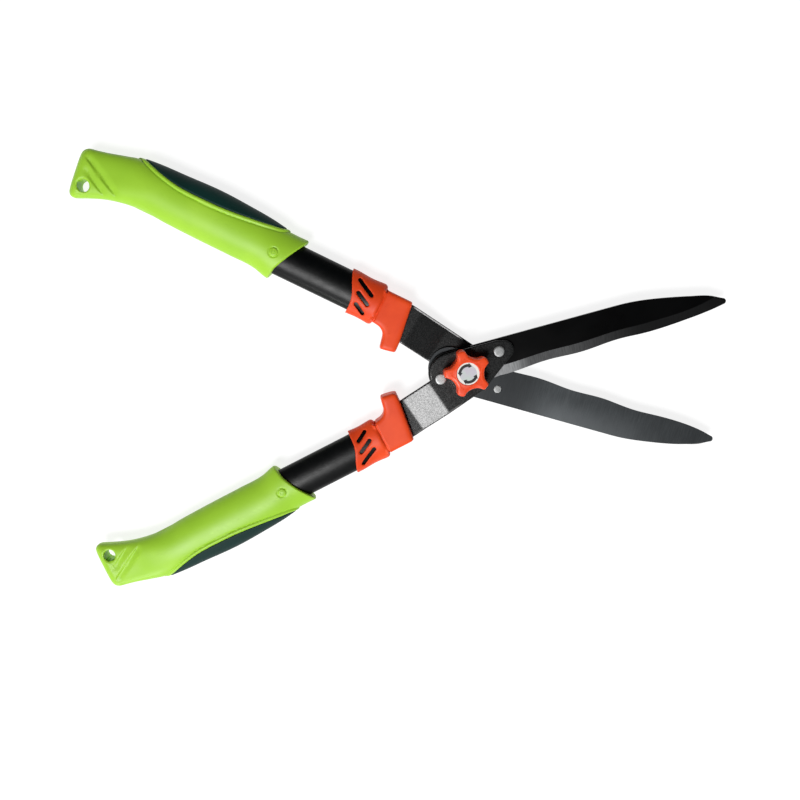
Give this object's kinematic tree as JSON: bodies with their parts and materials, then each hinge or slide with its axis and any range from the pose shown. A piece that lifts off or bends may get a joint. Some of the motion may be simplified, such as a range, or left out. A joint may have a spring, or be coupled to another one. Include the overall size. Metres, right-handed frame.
{
  "type": "hedge shears",
  "caption": "Manual hedge shears: two wavy blades on a knob-adjusted pivot, oval tube handles with bumper collars and soft-strip grips with hang holes.",
  "frame": {"origin": "on the pivot axis, at the underside of the pivot bolt's head, on the surface that the shears lie on", "axes": "+Z along the pivot axis, away from the bolt's head; +X from the pivot between the open blades; the back arm's handle is on the +Y side"},
  "size_m": [0.5168, 0.3516, 0.0365],
  "materials": {
    "blade_steel": "black coat, ground bevel",
    "tang_steel": "black powder coat, fine grain",
    "rivet_steel": "bright head",
    "tube_coat": "gloss black powder coat",
    "nylon": "natural nylon",
    "pin_steel": "plain",
    "collar_plastic": "moulded, satin",
    "grip_plastic": "moulded, satin",
    "grip_rubber": "soft moulded, matt",
    "grip_pin_plastic": "moulded, satin",
    "bolt_zinc": "zinc plated",
    "washer_zinc": "zinc plated",
    "spring_steel": "phosphated",
    "knob_plastic": "moulded, satin",
    "nut_zinc": "zinc plated",
    "label_film": "printed film disc"
  },
  "bodies": {
    "back_arm": {"back_blade": "blade_steel", "back_tang": "tang_steel", "back_blade_rivets": "rivet_steel", "back_tube": "tube_coat", "back_tang_plug": "nylon", "back_tube_pins": "pin_steel", "back_collar": "collar_plastic", "back_grip": "grip_plastic", "back_grip_insert": "grip_rubber", "back_grip_pin": "grip_pin_plastic", "pivot_bolt": "bolt_zinc", "back_washer": "washer_zinc"},
    "front_arm": {"front_blade": "blade_steel", "front_tang": "tang_steel", "front_blade_rivets": "rivet_steel", "front_tube": "tube_coat", "front_tang_plug": "nylon", "front_tube_pins": "pin_steel", "front_collar": "collar_plastic", "front_grip": "grip_plastic", "front_grip_insert": "grip_rubber", "front_grip_pin": "grip_pin_plastic", "front_washer": "washer_zinc"},
    "spring": {"disc_spring": "spring_steel"},
    "knob": {"star_knob": "knob_plastic", "knob_nut": "nut_zinc", "knob_label": "label_film"}
  },
  "joints": [
    {"name": "shears_pivot", "type": "hinge", "parent": "back_arm", "child": "front_arm", "pos_m": [0, 0, 0.0135], "axis": [0, 0, 1], "range_deg": [-30.9, 40]},
    {"name": "knob_lift", "type": "slide", "parent": "back_arm", "child": "spring", "axis": [0, 0, 1], "range_m": [0, 0.00125]},
    {"name": "knob_turn", "type": "hinge", "parent": "spring", "child": "knob", "pos_m": [0, 0, 0.03], "axis": [0, 0, 1], "range_deg": [0, 360]}
  ],
  "couplings": [
    {"joint": "knob_turn", "follows": "knob_lift", "rad_per_m": 5026.5}
  ]
}
